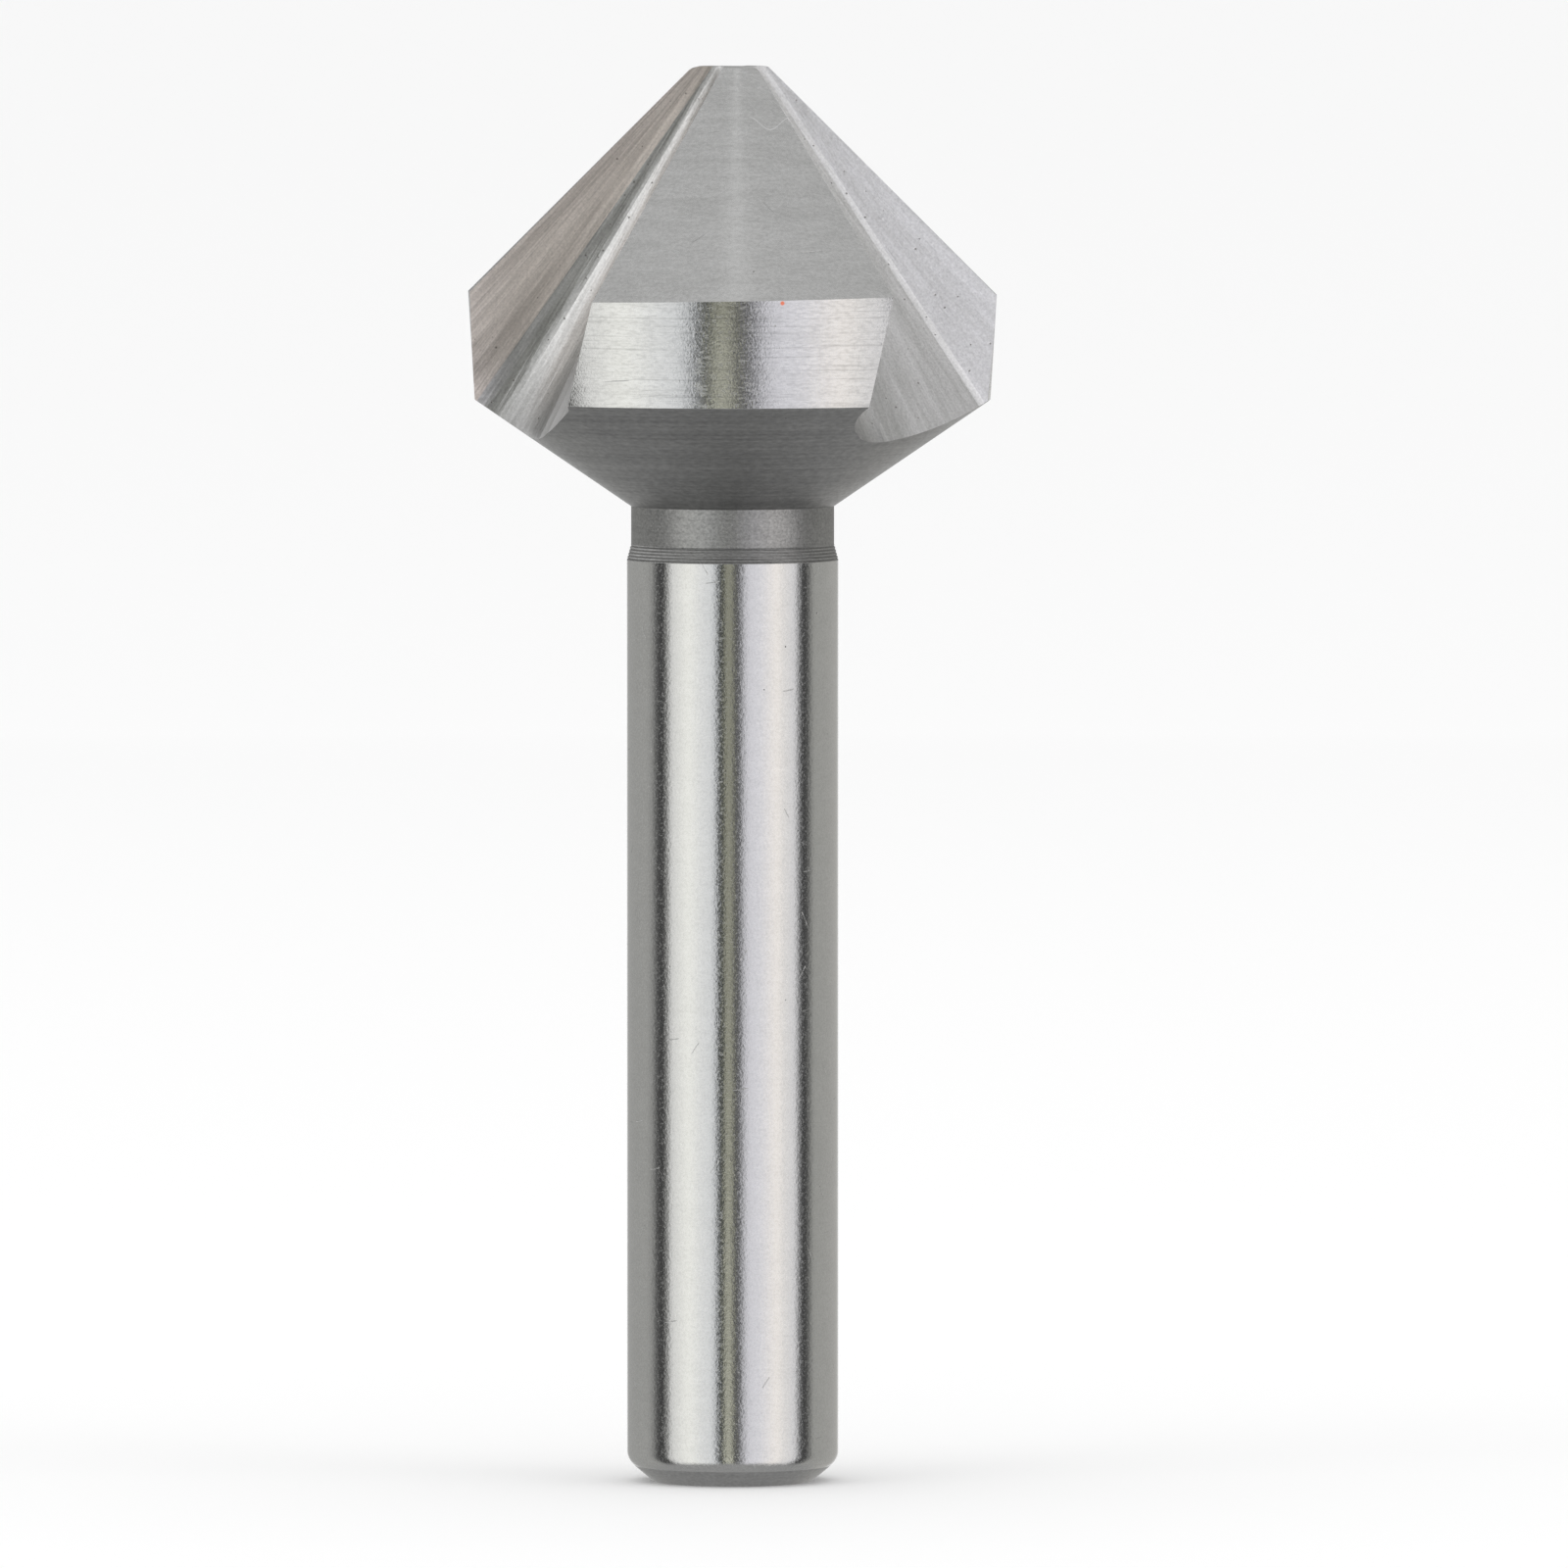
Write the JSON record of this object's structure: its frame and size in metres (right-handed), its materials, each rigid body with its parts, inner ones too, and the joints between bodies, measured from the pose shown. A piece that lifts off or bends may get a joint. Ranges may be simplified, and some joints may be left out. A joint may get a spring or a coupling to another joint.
{
  "type": "countersink bit",
  "caption": "Countersink bit with a blunt 90 degree cone, ground flutes between relieved lands, a short neck and a plain round shank.",
  "frame": {"origin": "centre of the shank's end face, on the tool's axis", "axes": "+Z along the tool's axis from the shank to the point; -Y is the side that the picture shows, +X is to its right"},
  "size_m": [0.025, 0.024, 0.067],
  "materials": {
    "tool_steel": "ground bright on the shank and band, finely ground on the cone and flutes, turned and darker on the back of the head and the neck"
  },
  "bodies": {
    "root": {"countersink_bit": "tool_steel"}
  },
  "joints": []
}
